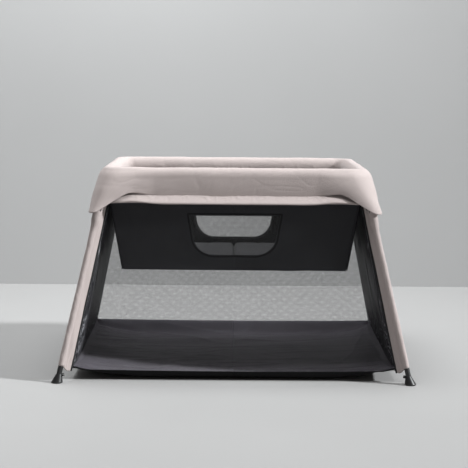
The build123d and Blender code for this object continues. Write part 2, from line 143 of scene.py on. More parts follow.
def new_piece(name, verts, faces, material, corner_uv=None):
    """A smooth mesh object. corner_uv gives the cloth's own coordinates, in metres."""
    mesh = bpy.data.meshes.new(name)
    mesh.from_pydata(verts.tolist(), [], faces)
    if corner_uv is not None:
        layer = mesh.uv_layers.new(name="cloth")
        layer.data.foreach_set("uv", np.asarray(corner_uv, np.float32).ravel())
    mesh.polygons.foreach_set("use_smooth", np.ones(len(mesh.polygons), bool))
    mesh.materials.append(material)
    mesh.validate()
    return add_object(name, mesh)


def mark_painted_highlights(obj, amount):
    """Stores how much painted highlight, standing for light caught on creases, each point of a piece gets in
    its material.
    """
    layer = obj.data.attributes.new("crease", "FLOAT", "POINT")
    layer.data.foreach_set("value", np.asarray(amount, np.float32).ravel())


def grid_piece(name, grid, material, closed_u=False, closed_v=False):
    """A piece from a grid of points, with its cloth coordinates measured along the grid."""
    nu, nv = grid.shape[:2]
    middle_u, middle_v = nv // 2, nu // 2
    u = run_length(grid[:, middle_u], closed_u)
    v = run_length(grid[middle_v], closed_v)
    faces, uv = [], []
    for i in range(nu if closed_u else nu - 1):
        a = (i + 1) % nu
        for j in range(nv if closed_v else nv - 1):
            b = (j + 1) % nv
            faces.append((i * nv + j, a * nv + j, a * nv + b, i * nv + b))
            uv += [(u[i], v[j]), (u[i + 1], v[j]), (u[i + 1], v[j + 1]), (u[i], v[j + 1])]
    return new_piece(name, grid.reshape(-1, 3), faces, material, uv)


def thicken(obj, thickness, offset=-1.0, lining=None):
    """Makes a closed shell of a sheet. offset -1 puts the thickness behind the surface."""
    m = obj.modifiers.new("shell", "SOLIDIFY")
    m.thickness, m.offset, m.use_even_offset = thickness, offset, False
    if lining is not None:
        obj.data.materials.append(lining)
        m.material_offset = 1
    return applied(obj)


def applied(obj):
    """Applies all of an object's modifiers."""
    evaluated = obj.evaluated_get(bpy.context.evaluated_depsgraph_get())
    mesh = bpy.data.meshes.new_from_object(evaluated)
    obj.modifiers.clear()
    obj.data = mesh
    return obj


def joined(name, objs):
    """Several meshes as one piece."""
    for o in bpy.context.selected_objects:
        o.select_set(False)
    for o in objs:
        o.select_set(True)
    bpy.context.view_layer.objects.active = objs[0]
    bpy.ops.object.join()
    objs[0].name = name
    objs[0].data.name = name
    return objs[0]


def tube_grid(path, radius, sides, up, flat=1.0):
    """Points of a tube round a path. flat squeezes its section along the side direction."""
    along = unit(np.gradient(path, axis=0))
    side = unit(np.cross(along, up))
    top = np.cross(side, along)
    angle = np.linspace(0, 2 * math.pi, sides, endpoint=False)[:, None]
    ring = side[:, None] * np.cos(angle) * flat + top[:, None] * np.sin(angle)
    return path[:, None] + ring * radius[:, None, None]


def capped_tube(name, path, radius, material, sides, up, flat):
    """A tube with rounded ends."""
    swell = np.sqrt(np.linspace(0, 1, 5)[1:-1])
    reach = radius * np.sqrt(1 - swell**2)[:, None]
    start = path[0] + unit(path[0] - path[1]) * reach
    stop = path[-1] + unit(path[-1] - path[-2]) * reach[::-1]
    radii = np.concatenate([swell, np.ones(len(path)), swell[::-1]]) * radius
    full = np.vstack([start, path, stop])
    return grid_piece(name, tube_grid(full, radii, sides, up, flat), material, closed_v=True)


# --- materials ------------------------------------------------------------------------------
class Nodes:
    """Short ways to add and join the nodes of one material."""

    def __init__(self, material):
        self.tree = material.node_tree
        self.bsdf = self.tree.nodes["Principled BSDF"]

    def add(self, kind, **settings):
        n = self.tree.nodes.new("ShaderNode" + kind)
        for key, value in settings.items():
            setattr(n, key, value)
        return n

    def link(self, out, into):
        self.tree.links.new(out, into)

    def feed(self, name, out):
        """Joins an output to one of the shader's inputs."""
        self.link(out, self.bsdf.inputs[name])

    def look(self, **numbers):
        """Sets plain inputs of the shader. An underscore stands for a space in their names."""
        for name, number in numbers.items():
            self.bsdf.inputs[name.replace("_", " ")].default_value = number

    def math(self, operation, a, b=None, c=None):
        n = self.add("Math", operation=operation)
        for i, x in enumerate((a, b, c)):
            if x is None:
                continue
            if isinstance(x, (int, float)):
                n.inputs[i].default_value = x
            else:
                self.link(x, n.inputs[i])
        return n.outputs[0]

    def cloth(self):
        """The cloth's own coordinates, in metres, as two numbers."""
        uv = self.add("UVMap", uv_map="cloth")
        parts = self.add("SeparateXYZ")
        self.link(uv.outputs[0], parts.inputs[0])
        return parts.outputs[0], parts.outputs[1]

    def noise(self, scale, detail=3.0):
        """Noise in the object's own space, scale in bumps a metre."""
        n = self.add("TexNoise")
        n.inputs["Scale"].default_value = scale
        n.inputs["Detail"].default_value = detail
        self.link(self.add("TexCoord").outputs["Object"], n.inputs["Vector"])
        return n.outputs["Fac"]

    def tones(self, value, colour, spread, start=0.3, stop=0.7):
        """A colour that turns from darker to lighter as value goes from start to stop."""
        n = self.add("ValToRGB")
        for element, place, tone in zip(n.color_ramp.elements, (start, stop), (1 - spread, 1 + spread)):
            element.position = place
            element.color = (*(min(1.0, c * tone) for c in colour), 1)
        self.link(value, n.inputs[0])
        return n.outputs[0]

    def bump(self, height, distance, under=None):
        n = self.add("Bump")
        n.inputs["Distance"].default_value = distance
        self.link(height, n.inputs["Height"])
        if under is not None:
            self.link(under, n.inputs["Normal"])
        return n.outputs[0]

    def weave(self, pitch):
        """Height of a plain weave, 0 to 1, from the cloth's coordinates."""
        u, v = self.cloth()
        k = 2 * math.pi / pitch
        a = self.math("SINE", self.math("MULTIPLY", u, k))
        b = self.math("SINE", self.math("MULTIPLY", v, k))
        return self.math("MULTIPLY_ADD", self.math("MULTIPLY", a, b), 0.5, 0.5)


def new_material(name):
    """A material and its nodes."""
    m = bpy.data.materials.new(name)
    m.use_nodes = True
    return m, Nodes(m)


def woven(name, colour, pitch=0.0014, depth=0.00016, roughness=0.85, spread=0.08, sheen=0.3,
          gloss=0.25, crinkle=0.0, crinkle_scale=40.0):
    """Woven fabric: threads that vary a little in tone, the weave as relief, and faint creases."""
    m, n = new_material(name)
    weave = n.weave(pitch)
    tone = n.math("MULTIPLY_ADD", weave, 0.35, n.math("MULTIPLY", n.noise(900.0, 2.0), 0.45))
    tone = n.math("ADD", tone, n.math("MULTIPLY", n.noise(9.0, 3.0), 0.35))
    n.feed("Base Color", n.tones(tone, colour, spread, 0.25, 0.85))
    n.look(Roughness=roughness, Specular_IOR_Level=gloss, Sheen_Weight=sheen, Sheen_Roughness=0.45)
    under = n.bump(n.noise(crinkle_scale, 5.0), crinkle) if crinkle else None
    n.feed("Normal", n.bump(weave, depth, under=under))
    return m


def crumpled(name, colour, highlight_colour, **settings):
    """Woven fabric with a painted highlight: its sharpest creases are mixed towards a light colour, standing
    for the light they catch.
    """
    m = woven(name, colour, **settings)
    n = Nodes(m)
    base = n.bsdf.inputs["Base Color"]
    highlight_node = n.add("Attribute", attribute_name="crease")
    mix = n.add("MixRGB")
    # painted highlight: the crease amount, broken up by noise, mixes the base colour towards the light
    # highlight colour
    sharp = n.math("POWER", highlight_node.outputs["Fac"], 1.5)
    n.link(n.math("MULTIPLY", sharp, n.noise(90.0, 4.0)), mix.inputs["Fac"])
    n.link(base.links[0].from_socket, mix.inputs["Color1"])
    mix.inputs["Color2"].default_value = (*highlight_colour, 1)
    n.link(mix.outputs[0], base)
    return m


def netting(name, colour, pitch, open_share, roughness=0.6, sheen=0.1):
    """Knitted mesh: round holes on a hexagonal grid, with raised threads between them."""
    m, n = new_material(name)
    u, v = n.cloth()
    row = pitch * math.sqrt(3)

    def nearest(shift):
        squares = []
        for value, period in ((u, pitch), (v, row)):
            turn = n.math("FRACT", n.math("ADD", n.math("DIVIDE", value, period), 100 + shift))
            gap = n.math("MULTIPLY", n.math("SUBTRACT", turn, 0.5), period)
            squares.append(n.math("POWER", n.math("ABSOLUTE", gap), 2.0))
        return n.math("SQRT", n.math("ADD", *squares))

    distance = n.math("MINIMUM", nearest(0.0), nearest(0.5))
    radius = pitch * math.sqrt(open_share * math.sqrt(3) / (2 * math.pi))
    past_hole = n.math("SUBTRACT", distance, radius * 0.94)
    solid = n.math("SMOOTH_MIN", n.math("DIVIDE", past_hole, radius * 0.12), 1.0, 0.1)
    n.feed("Alpha", n.math("MAXIMUM", n.math("MINIMUM", solid, 1.0), 0.0))
    n.feed("Base Color", n.tones(n.noise(700.0, 2.0), colour, 0.18))
    n.look(Roughness=roughness, Specular_IOR_Level=0.06, Sheen_Weight=sheen)
    n.feed("Normal", n.bump(n.math("DIVIDE", distance, pitch), 0.0004))
    return m


def moulded(name, colour, roughness=0.45, grain=0.00004, coat=0.0):
    """Moulded plastic with a fine grain and slight wear in its gloss."""
    m, n = new_material(name)
    n.feed("Base Color", n.tones(n.noise(60.0, 4.0), colour, 0.15))
    n.feed("Roughness", n.math("MULTIPLY_ADD", n.noise(35.0, 4.0), 0.16, roughness - 0.08))
    n.feed("Normal", n.bump(n.noise(1400.0, 2.0), grain))
    n.look(Coat_Weight=coat)
    return m


def metal(name, colour, roughness=0.35):
    """Metal with a faintly uneven polish."""
    m, n = new_material(name)
    polish = n.noise(75.0, 3.0)
    n.feed("Base Color", n.tones(n.noise(80.0, 4.0), colour, 0.06))
    n.feed("Roughness", n.math("MULTIPLY_ADD", polish, 0.2, roughness - 0.1))
    n.feed("Normal", n.bump(polish, 0.00002))
    n.look(Metallic=1.0)
    return m


BEIGE = (0.440, 0.380, 0.367)
RIM_FABRIC = woven("rim_fabric", BEIGE, spread=0.05, sheen=0.15, crinkle=0.0002, crinkle_scale=60.0)
SLEEVE_FABRIC = woven("sleeve_fabric", BEIGE, spread=0.05, sheen=0.15, crinkle=0.0002, crinkle_scale=70.0)
# body_fabric carries a painted highlight: its sharpest creases turn towards the light colour (0.66, 0.66,
# 0.70)
BODY_FABRIC = crumpled("body_fabric", (0.030, 0.029, 0.034), (0.66, 0.66, 0.70), pitch=0.0011, depth=0.00006,
                       roughness=0.5, spread=0.15, sheen=0.02, gloss=0.15, crinkle=0.0012, crinkle_scale=28.0)
OUTSIDE_FABRIC = woven("outside_fabric", (0.026, 0.025, 0.029), pitch=0.0011, depth=0.00006, roughness=0.55,
                       spread=0.15, sheen=0.02, gloss=0.12, crinkle=0.0006, crinkle_scale=28.0)
# painted light: the base's black fabric is lightened to grey-purple for the light and netting haze that reach
# it
BASE_FABRIC_PAINTED_LIGHT = woven("base_fabric_painted_light", (0.155, 0.142, 0.168), pitch=0.0011, depth=0.00008, roughness=0.6,
                    spread=0.15, sheen=0.15, gloss=0.2, crinkle=0.0008, crinkle_scale=16.0)
BORDER_FABRIC = woven("border_fabric", (0.008, 0.008, 0.0085), pitch=0.0014, depth=0.0001, roughness=0.7,
                      spread=0.2, sheen=0.02, gloss=0.1)
BASSINET_FABRIC = woven("bassinet_fabric", (0.0058, 0.0058, 0.0062), pitch=0.0012, roughness=0.8,
                        spread=0.15, sheen=0.02, gloss=0.08, crinkle=0.0005, crinkle_scale=30.0)
LINING_FABRIC = woven("lining_fabric", (0.050, 0.050, 0.055), pitch=0.0012, roughness=0.6,
                      spread=0.15, sheen=0.05, gloss=0.15, crinkle=0.0012, crinkle_scale=36.0)
MATTRESS_FABRIC = woven("mattress_fabric", (0.040, 0.040, 0.043), pitch=0.0020, depth=0.0003,
                        roughness=0.9, spread=0.12, sheen=0.1, gloss=0.15)
TAPE_FABRIC = woven("tape_fabric", (0.014, 0.014, 0.015), pitch=0.0016, depth=0.00025,
                    roughness=0.7, spread=0.2, sheen=0.15)
BODY_MESH = netting("body_mesh", (0.018, 0.018, 0.019), 0.0034, 0.74, sheen=0.02)
WINDOW_MESH = netting("window_mesh", (0.27, 0.27, 0.27), 0.0042, 0.86, sheen=0.0)
BLACK_PLASTIC = moulded("black_plastic", (0.022, 0.022, 0.024))
BUTTON_PLASTIC = moulded("button_plastic", (0.22, 0.22, 0.225), 0.4)
FOOT_PLASTIC = moulded("foot_plastic", (0.014, 0.014, 0.015), 0.40, 0.00002, coat=0.08)
ALUMINIUM = metal("frame_aluminium", (0.60, 0.61, 0.63))
STEEL = metal("steel_pin", (0.56, 0.56, 0.57), 0.3)
THREAD = woven("thread", (0.60, 0.53, 0.515), pitch=0.0006, depth=0.0001, spread=0.05)


# --- the rim: cover with corner flaps, and the band under it --------------------------------
def rounded_rectangle(half_x, half_y, radius, quarter):
    """Points and outward normals of one quarter of a rounded rectangle, from the middle of the
    front (0, -half_y) round the right front corner to the middle of the right side. quarter
    gives the place: 0 to 1 the straight front, 1 to 2 the bend, 2 to 3 the straight side."""
    q = np.asarray(quarter, float)
    front = np.clip(q, 0, 1)
    bend = np.clip(q - 1, 0, 1) * math.pi / 2
    side = np.clip(q - 2, 0, 1)
    x = front * (half_x - radius) + np.where(q > 1, np.sin(bend) * radius, 0)
    y = -half_y + np.where(q > 1, (1 - np.cos(bend)) * radius, 0) + side * (half_y - radius)
    return np.stack([x, y], -1), np.stack([np.sin(bend), -np.cos(bend)], -1)


QUARTER_COUNTS = (96, 44, 56)                 # columns on the straight front, bend and side


def quarter_places():
    """Places of a quarter's columns, 0 to 3, as rounded_rectangle takes them."""
    parts = [np.arange(count) / count + i for i, count in enumerate(QUARTER_COUNTS)]
    return np.concatenate([*parts, [3.0]])


def round_the_ring(quarter_grid):
    """A quarter's grid of points, mirrored to the whole ring. Its first column is at x = 0 in
    front, and its last at y = 0 on the right."""
    a = quarter_grid
    b = (a * (1, -1, 1))[::-1][1:]
    half = np.concatenate([a, b])
    other = (half * (-1, 1, 1))[::-1][1:-1]
    return np.concatenate([half, other])


def past_bend(q):
    """How far places are from the rim's bend, along its straight front and its straight side."""
    return np.clip(1 - q, 0, 1) * (RIM_X - RIM_CORNER), np.clip(q - 2, 0, 1) * (RIM_Y - RIM_CORNER)


def corner_distance(q):
    """Distance along the rim's centre line from the middle of its corner."""
    front, side = past_bend(q)
    return front + side + np.abs(np.clip(q, 1, 2) - 1.5) * RIM_CORNER * math.pi / 2


def hem_height(q):
    """Height of the cover's lower edge: level, a slight rise, and down to the flap's tip."""
    d = corner_distance(q)
    rise = hump((d - 0.085) / 0.045) * HEM_RISE
    return HEM_Z + rise - smooth((0.088 - d) / 0.056) * (HEM_Z - FLAP_Z)


def flare(q, z):
    """How far a point of the cover follows the flap outwards, 0 to 1."""
    near = smooth((0.140 - corner_distance(q)) / 0.100)[:, None]
    return near * np.clip((FLARE_Z - z) / (FLARE_Z - FLAP_Z), 0, 1.1)


FACE_POINTS, TOP_POINTS, SKIRT_POINTS = 16, 26, 29      # of the cover's section


def rim_profile():
    """Inner face and top of the rim's section: how far out of the centre line, and height."""
    heights = np.linspace(0.546, ROLL_Z, FACE_POINTS, endpoint=False)
    low = np.stack(np.broadcast_arrays(-RIM_HALF, heights), -1)
    low[:, 0] -= 0.0012 * np.sin(np.linspace(0, math.pi, FACE_POINTS))
    angle = np.linspace(math.pi, 0, TOP_POINTS)
    power = 2 / 2.2
    c, s = np.cos(angle), np.sin(angle)
    across = np.sign(c) * np.abs(c) ** power * RIM_HALF
    height = ROLL_Z + np.abs(s) ** power * (RIM_TOP - ROLL_Z)
    return np.vstack([low, np.stack([across, height], -1)])


def rim_cover():
    """The padded rim in its fabric cover: one ring, with a flap over each leg top."""
    q = quarter_places()
    fixed = rim_profile()
    t = np.linspace(0, 1, SKIRT_POINTS + 1)[1:]
    hem = hem_height(q)
    curl = 0.0040 * np.clip((t - 0.93) / 0.07, 0, 1) ** 1.5
    out = np.concatenate([fixed[:, 0], RIM_HALF + 0.0016 * np.sin(math.pi * t)])
    z = np.concatenate([np.broadcast_to(fixed[:, 1], (len(q), len(fixed))),
                        ROLL_Z - t * (ROLL_Z - hem[:, None])], 1)
    centre, normal = rounded_rectangle(RIM_X, RIM_Y, RIM_CORNER, q)
    plan = centre[:, None] + normal[:, None] * out[:, None]
    skirt, _ = rounded_rectangle(FLAP_X, FLAP_Y, FLAP_CORNER, np.clip(q, 1, 2))
    front, side = past_bend(q)
    skirt = skirt + np.stack([-front, side], -1)
    share = (flare(q, z) * smooth(out / RIM_HALF))[..., None]
    target = skirt[:, None] + normal[:, None] * (out - RIM_HALF)[:, None] * 0.5
    plan = plan + share * (target - plan)
    off_corner = 1 - smooth((0.14 - corner_distance(q)) / 0.08)
    curled = np.concatenate([np.zeros(len(fixed)), curl]) * off_corner[:, None]
    plan = plan - normal[:, None] * curled[..., None]
    return round_the_ring(np.concatenate([plan, z[..., None]], -1))


def soften_rim(grid):
    """Padding that is a little uneven, puckers in the tight corners and soft drag folds."""
    n = normals_of(grid, closed_u=True)
    x, y, z = np.moveaxis(grid, -1, 0)
    corner = smooth((np.abs(x) - 0.25) / 0.10) * smooth((np.abs(y) - 0.12) / 0.10)
    lift = 0.0007 * ripple(grid, 0.20, 3) + 0.0002 * ripple(grid, (0.06, 0.06, 0.09), 5)
    inner = np.zeros_like(z)
    inner[:, :FACE_POINTS + 2] = 1
    pucker = creases(grid, (0.030, 0.030, 0.10), 11) * inner * (1 - 0.6 * corner)
    lift -= 0.0012 * pucker
    lift += 0.0004 * creases(grid, (0.10, 0.10, 0.05), 17) * (1 - inner)
    low = smooth((0.60 - z) / 0.05)
    fold = ripple(grid @ np.array([[1.0, 0, 0.35], [0, 1.0, 0.35], [0, 0, 0.3]]), (0.09, 0.09, 0.09), 21)
    lift += 0.0016 * fold * corner * low * (1 - inner)
    return grid + n * lift[..., None]


def stitch_row(name, path, normal, material, pitch=0.0036, length=0.0026, radius=0.00042):
    """A row of short raised stitches along a closed or open line of points."""
    s = run_length(path)
    count = int(s[-1] / pitch)
    at = (np.arange(count) + 0.5) * pitch
    centre = points_at(at, s, path)
    n = unit(points_at(at, s, normal))
    along = unit(points_at(at + length / 2, s, path) - centre)
    side = np.cross(along, n)
    profile = [(-1.0, 0.0), (-0.7, 0.8), (0.0, 1.0), (0.7, 0.8), (1.0, 0.0)]
    verts, faces, sides = [], [], 5
    for c, a, b, up in zip(centre, along, side, n):
        first = len(verts)
        for where, size in profile:
            for k in range(sides):
                angle = 2 * math.pi * k / sides
                ring = (b * math.cos(angle) + up * math.sin(angle)) * radius * max(size, 0.15)
                verts.append(c + a * where * length / 2 + ring + up * radius * 0.3 * size)
        for i in range(len(profile) - 1):
            for k in range(sides):
                j = (k + 1) % sides
                low, high = first + i * sides, first + (i + 1) * sides
                faces.append((low + k, low + j, high + j, high + k))
    uv = np.zeros((len(faces) * 4, 2))
    return new_piece(name, np.array(verts), faces, material, uv)


def rim_band():
    """The strip under the cover's edge, puffed out where the body hangs from it, with the
    underside of the rim."""
    q = quarter_places()
    bulge = [(0.0225, 0.568), (0.0245, 0.5630), (0.0285, 0.5580), (0.0335, 0.5535), (0.0385, 0.5490),
             (0.0430, 0.5445)]
    roll = [(0.0460, 0.5410), (0.0473, 0.5385), (0.0472, 0.5362), (0.0455, 0.5347), (0.0420, 0.5345),
            (0.032, 0.5348)]
    under = [(0.020, 0.5345), (0.012, 0.5345), (0.0, 0.5345), (-0.012, 0.5345), (-0.020, 0.5345)]
    inner = [(-0.0240, 0.5362), (-0.0256, 0.5400), (-0.0258, 0.546), (-0.0250, 0.554), (-0.0240, 0.562)]
    section = np.array(bulge + roll + under + inner)
    s = run_length(section)
    out, z = points_at(np.linspace(0, s[-1], 64), s, section).T
    centre, normal = rounded_rectangle(RIM_X, RIM_Y, RIM_CORNER, q)
    rise = hump((corner_distance(q) - 0.07) / 0.05) * 0.006
    outer = smooth((out - 0.005) / 0.015)
    plan = centre[:, None] + normal[:, None] * out[:, None]
    height = z + rise[:, None] * outer
    grid = round_the_ring(np.concatenate([plan, height[..., None]], -1))
    n = normals_of(grid, closed_u=True)
    seam = hump((grid[..., 2] - 0.556) / 0.012) * (outer > 0.5)
    lift = -0.0012 * creases(grid, (0.030, 0.030, 0.08), 31) * seam + 0.0006 * ripple(grid, 0.09, 33)
    return grid + n * lift[..., None]


# --- legs: fabric sleeves with fins, and the piping on the body's corners --------------------
def mirror_to(points, sx, sy):
    """Points of the right rear corner, moved to the corner with signs sx and sy."""
    return points * np.array([sx, sy, 1])


def on_leg(z):
    """Points of the right rear leg's axis at heights z."""
    t = (np.asarray(z, float) - PIVOT[2]) / (ANKLE[2] - PIVOT[2])
    return PIVOT + t[..., None] * (ANKLE - PIVOT)


# A body seam at the right rear corner, the fabric tube round a leg, and where its fin is hooked.
SEAM_TOP, SEAM_LOW = np.array([0.3925, 0.2740, 0.516]), np.array([0.4945, 0.3480, 0.034])
SLEEVE_R, SLEEVE_TOP_Z, SLEEVE_LOW_Z = 0.0088, 0.524, 0.0505
HOOK = np.array([0.5115, 0.3650, 0.0240])


def on_seam(z):
    """Points of the right rear corner seam at heights z."""
    t = (SEAM_TOP[2] - np.asarray(z, float)) / (SEAM_TOP[2] - SEAM_LOW[2])
    return SEAM_TOP + t[..., None] * (SEAM_LOW - SEAM_TOP)


def sleeve_tube(sx, sy, seed):
    """Fabric tube round a leg, a little loose, turned in at its lower end."""
    z = np.linspace(SLEEVE_TOP_Z, SLEEVE_LOW_Z, 110)
    r = SLEEVE_R + 0.0045 * smooth((z - 0.455) / 0.035)
    r[-1] = 0.0078
    path = mirror_to(on_leg(z), sx, sy)
    grid = tube_grid(path, r, 28, (sx, sy, 0.3))
    n = unit(grid - path[:, None])
    lift = 0.00045 * ripple(grid, (0.02, 0.02, 0.11), seed)
    lift += 0.0003 * ripple(grid, (0.012, 0.012, 0.02), seed + 1)
    low = smooth((0.10 - grid[..., 2]) / 0.05)
    lift += 0.0005 * ripple(grid, (0.012, 0.012, 0.012), seed + 2) * low
    grid[:-1] += n[:-1] * np.clip(lift, -0.0004, 0.0012)[:-1, :, None]
    return grid


def fin_grid(sx, sy, seed):
    """Flat fabric between a leg's tube and the corner seam, pulled towards the foot's hook."""
    v = np.linspace(0, 1, 130)[:, None]
    u = np.linspace(0, 1, 26)
    outer = on_leg(0.532 + v * (0.0500 - 0.532))
    inner = on_seam(0.534 + v * (0.0350 - 0.534))
    across = unit(inner - outer)
    outer = outer + across * SLEEVE_R * 0.75
    inner = inner + across * 0.0010
    grid = outer + (inner - outer) * u[:, None]
    pull = smooth((v - 0.93) / 0.07) * np.sin(math.pi * (0.15 + 0.7 * u)) ** 2
    grid[..., 2] -= 0.0105 * pull
    n = normals_of(grid)
    from_hook = grid - HOOK
    away = np.linalg.norm(from_hook, axis=-1)
    angle = np.arctan2(from_hook[..., 2], np.linalg.norm(from_hook[..., :2], axis=-1))
    slack = np.sin(math.pi * u)
    lift = 0.0016 * slack * (0.6 + 0.4 * np.sin(9 * v))
    lift = lift + 0.0011 * np.cos(angle * 26 + seed) * hump(away / 0.075) * slack
    lift = lift + 0.0007 * ripple(grid, (0.03, 0.03, 0.16), seed + 4) * slack
    lift = lift + 0.0014 * hump(v / 0.10) * np.sin(math.pi * u * 2)
    return mirror_to(grid + n * lift[..., None], sx, sy)


# --- body: mesh walls, end walls, base and corner piping -------------------------------------
def base_edge_z(x):
    """Height of the lowest line of the body along its front and rear, which sags."""
    return BASE_LOW_Z + (0.0285 - BASE_LOW_Z) * (np.abs(x) / WALL_LOW[0]) ** 5


def sloping_panel(u, v, z_low, wide, out):
    """A flat panel from under the rim to the base. v is a column, and wide and out are the
    panel's axes, where 0 is x and 1 is y."""
    edge = WALL_TOP + v * (WALL_LOW - WALL_TOP)
    slope = (WALL_LOW[out] - WALL_TOP[out]) / (WALL_TOP[2] - WALL_LOW[2])
    z = WALL_TOP[2] + v * (z_low - WALL_TOP[2])
    grid = np.empty((*z.shape, 3))
    grid[..., wide] = edge[:, wide, None] * u
    grid[..., out] = WALL_TOP[out] + (WALL_TOP[2] - z) * slope
    grid[..., 2] = z
    return grid


def wall_grid(end, columns=161, rows=84):
    """Mesh wall from under the rim to the base, a little slack between its seams."""
    v = np.linspace(0, 1, rows)[:, None]
    u = np.linspace(-1, 1, columns)
    grid = sloping_panel(u, v, BORDER_TOP[end] - 0.004 * (1 - u**2), 0, 1)
    inside = np.sin(math.pi * v) * (1 - u**6)
    y_shift = -0.004 * inside + 0.0016 * ripple(grid, (0.30, 0.3, 0.22), 41 + end) * inside
    side = hump((1 - np.abs(u)) / 0.10) * np.sin(math.pi * v) ** 0.5
    y_shift += 0.0012 * ripple(grid, (0.10, 0.1, 0.05), 45 + end) * side
    grid[..., 1] += y_shift
    return (grid * (1, end, 1)).transpose(1, 0, 2)


def end_wall_grid(side, columns=221, rows=170):
    """Dark end panel, with long folds beside its seams and crumples low down, and the amount of
    painted highlight for each of its points, from how sharp its creases are."""
    v = np.linspace(0, 1, rows)[:, None]
    u = np.linspace(-1, 1, columns)
    grid = sloping_panel(u, v, WALL_LOW[2] - 0.008 * (1 - u**2), 1, 0)
    pinned = np.clip(np.minimum(v, 1 - v) / 0.05, 0, 1) * (1 - np.abs(u) ** 14)
    near_seam = hump((1 - np.abs(u)) / 0.22)
    lift = -0.006 * np.sin(math.pi * v) * (1 - u**4)
    lift = lift + 0.0060 * creases(grid, (0.5, 0.060, 0.60), 51 + side, 0.16) * (0.35 + near_seam) * pinned
    lift = lift + 0.0035 * creases(grid, (0.5, 0.036, 0.30), 57 + side, 0.16) * (0.2 + near_seam) * pinned
    crumple = creases(grid, (0.5, 0.030, 0.075), 61 + side, 0.14)
    crumple = crumple + creases(grid, (0.5, 0.055, 0.026), 67 + side, 0.14) * 0.7
    crumple = crumple * smooth((v - 0.62) / 0.30) * (0.20 + 1.3 * near_seam) * pinned
    grid[..., 0] += lift + 0.0070 * crumple
    folds = creases(grid, (0.5, 0.050, 0.40), 57 + side, 0.12) * near_seam * pinned
    # painted highlight: crumples and the folds by the seams get a lighter colour, standing for light caught
    # on them
    highlight_amount = 5.5 * crumple + 2.2 * folds
    grid = grid * (side, 1, 1)
    return (grid, highlight_amount) if side > 0 else (grid[:, ::-1], highlight_amount[:, ::-1])


def base_grid(columns=241, rows=161):
    """The hanging fabric floor: its flat bottom, and its borders turned up to the walls."""
    seam = 0.0005
    x = crowded(np.linspace(-1, 1, columns), 1.25) * (WALL_LOW[0] - seam)
    y = crowded(np.linspace(-1, 1, rows), 1.25) * (WALL_LOW[1] - seam)
    x, y = np.meshgrid(x, y, indexing="ij")
    from_side = WALL_LOW[0] - np.abs(x)
    from_end = WALL_LOW[1] - np.abs(y)
    edge = np.minimum(from_side, from_end)
    border = np.where((y > 0) & (from_end < from_side), 0.070, 0.024)
    turn = 1 - smooth(edge / border)
    sag = base_edge_z(x)
    border_top = np.where(y < 0, BORDER_TOP[-1], BORDER_TOP[1]) - 0.004 * (1 - (x / WALL_LOW[0]) ** 2)
    side_share = smooth(0.5 + (np.abs(y) / WALL_LOW[1]) * np.sign(y) * 0.5)
    side_top = BORDER_TOP[-1] + (BORDER_TOP[1] - BORDER_TOP[-1]) * side_share
    side_top = side_top - 0.006 * (1 - (y / WALL_LOW[1]) ** 2)
    top = np.where(from_end < from_side, border_top, side_top)
    z = sag + (top - sag) * turn**2.2
    from_corner = np.hypot(from_side, from_end)
    z = np.maximum(z, sag + 0.012 * hump(from_corner / 0.11))
    grid = np.stack([x, y, z], -1)
    free = smooth(edge / 0.03)
    broad = creases(grid, (0.42, 0.11, 1.0), 71) * 0.0022 + creases(grid, (0.16, 0.30, 1.0), 77) * 0.0015
    flat = np.stack([x, y, 0 * x], -1)
    soft = 0.0012 * ripple(flat, (0.30, 0.12, 1.0), 83)
    radial = creases(flat, (0.07, 0.045, 1.0), 85) * 0.0030 * hump(from_corner / 0.15)
    hem_waves = 0.0010 * ripple(grid, (0.09, 0.5, 1.0), 87) * (1 - free) * smooth(edge / 0.004)
    grid[..., 2] = np.maximum(grid[..., 2] + (broad + soft + radial) * free + hem_waves, 0.0045)
    return grid


# --- bassinet -------------------------------------------------------------------------------
WINDOW_RUNS = (34, 30, 30, 34)         # steps along the lower edge, round corner, side and top


def window_line(grow=0.0):
    """Right half of the D-shaped window's outline in (x, z), from the middle of its lower edge
    to the middle of its top, in four runs: lower edge, round corner, side and top."""
    top, low = WINDOW_TOP_Z + grow, WINDOW_LOW_Z - grow
    right = np.array([WINDOW_HALF + grow, top])
    foot = np.array([WINDOW_HALF - WINDOW_DRAW_IN + grow * 0.8, low])
    up = unit(right - foot)
    turn = math.acos(float(up @ np.array([1.0, 0.0])))
    r = WINDOW_CORNER + grow
    reach = r * math.tan(turn / 2)
    start, stop = foot - np.array([reach, 0]), foot + up * reach
    centre = start + np.array([0, r])
    angle = np.linspace(-math.pi / 2, -math.pi / 2 + turn, WINDOW_RUNS[1] + 1)
    low_run = np.linspace([0, low], start, WINDOW_RUNS[0] + 1)
    bend = centre + r * np.stack([np.cos(angle), np.sin(angle)], -1)
    side = np.linspace(stop, right, WINDOW_RUNS[2] + 1)
    top_run = np.linspace(right, [0, top], WINDOW_RUNS[3] + 1)
    return np.vstack([low_run, bend[1:], side[1:], top_run[1:]])


def panel_point(xz, end):
    """Points of a long bassinet panel from their (x, z), with its slight outward bow."""
    x, z = xz[..., 0], xz[..., 1]
    rise = (z - BASSINET_LOW[2]) / (BASSINET_TOP[2] - BASSINET_LOW[2])
    half, y = (BASSINET_LOW[k] + rise * (BASSINET_TOP[k] - BASSINET_LOW[k]) for k in (0, 1))
    bow = np.sin(math.pi * (0.12 + 0.88 * np.clip(rise, 0, 1)) ** 0.8)
    slack = (1 - np.clip(np.abs(x) / half, 0, 1) ** 4) * bow
    p = np.stack([x, y, z], -1)
    y = y + slack * (0.0035 + 0.0012 * ripple(p, (0.22, 0.2, 0.16), 91 + end))
    y = y + 0.0010 * ripple(p, (0.12, 0.1, 0.07), 95 + end) * slack
    return np.stack([x, y * end, z], -1)


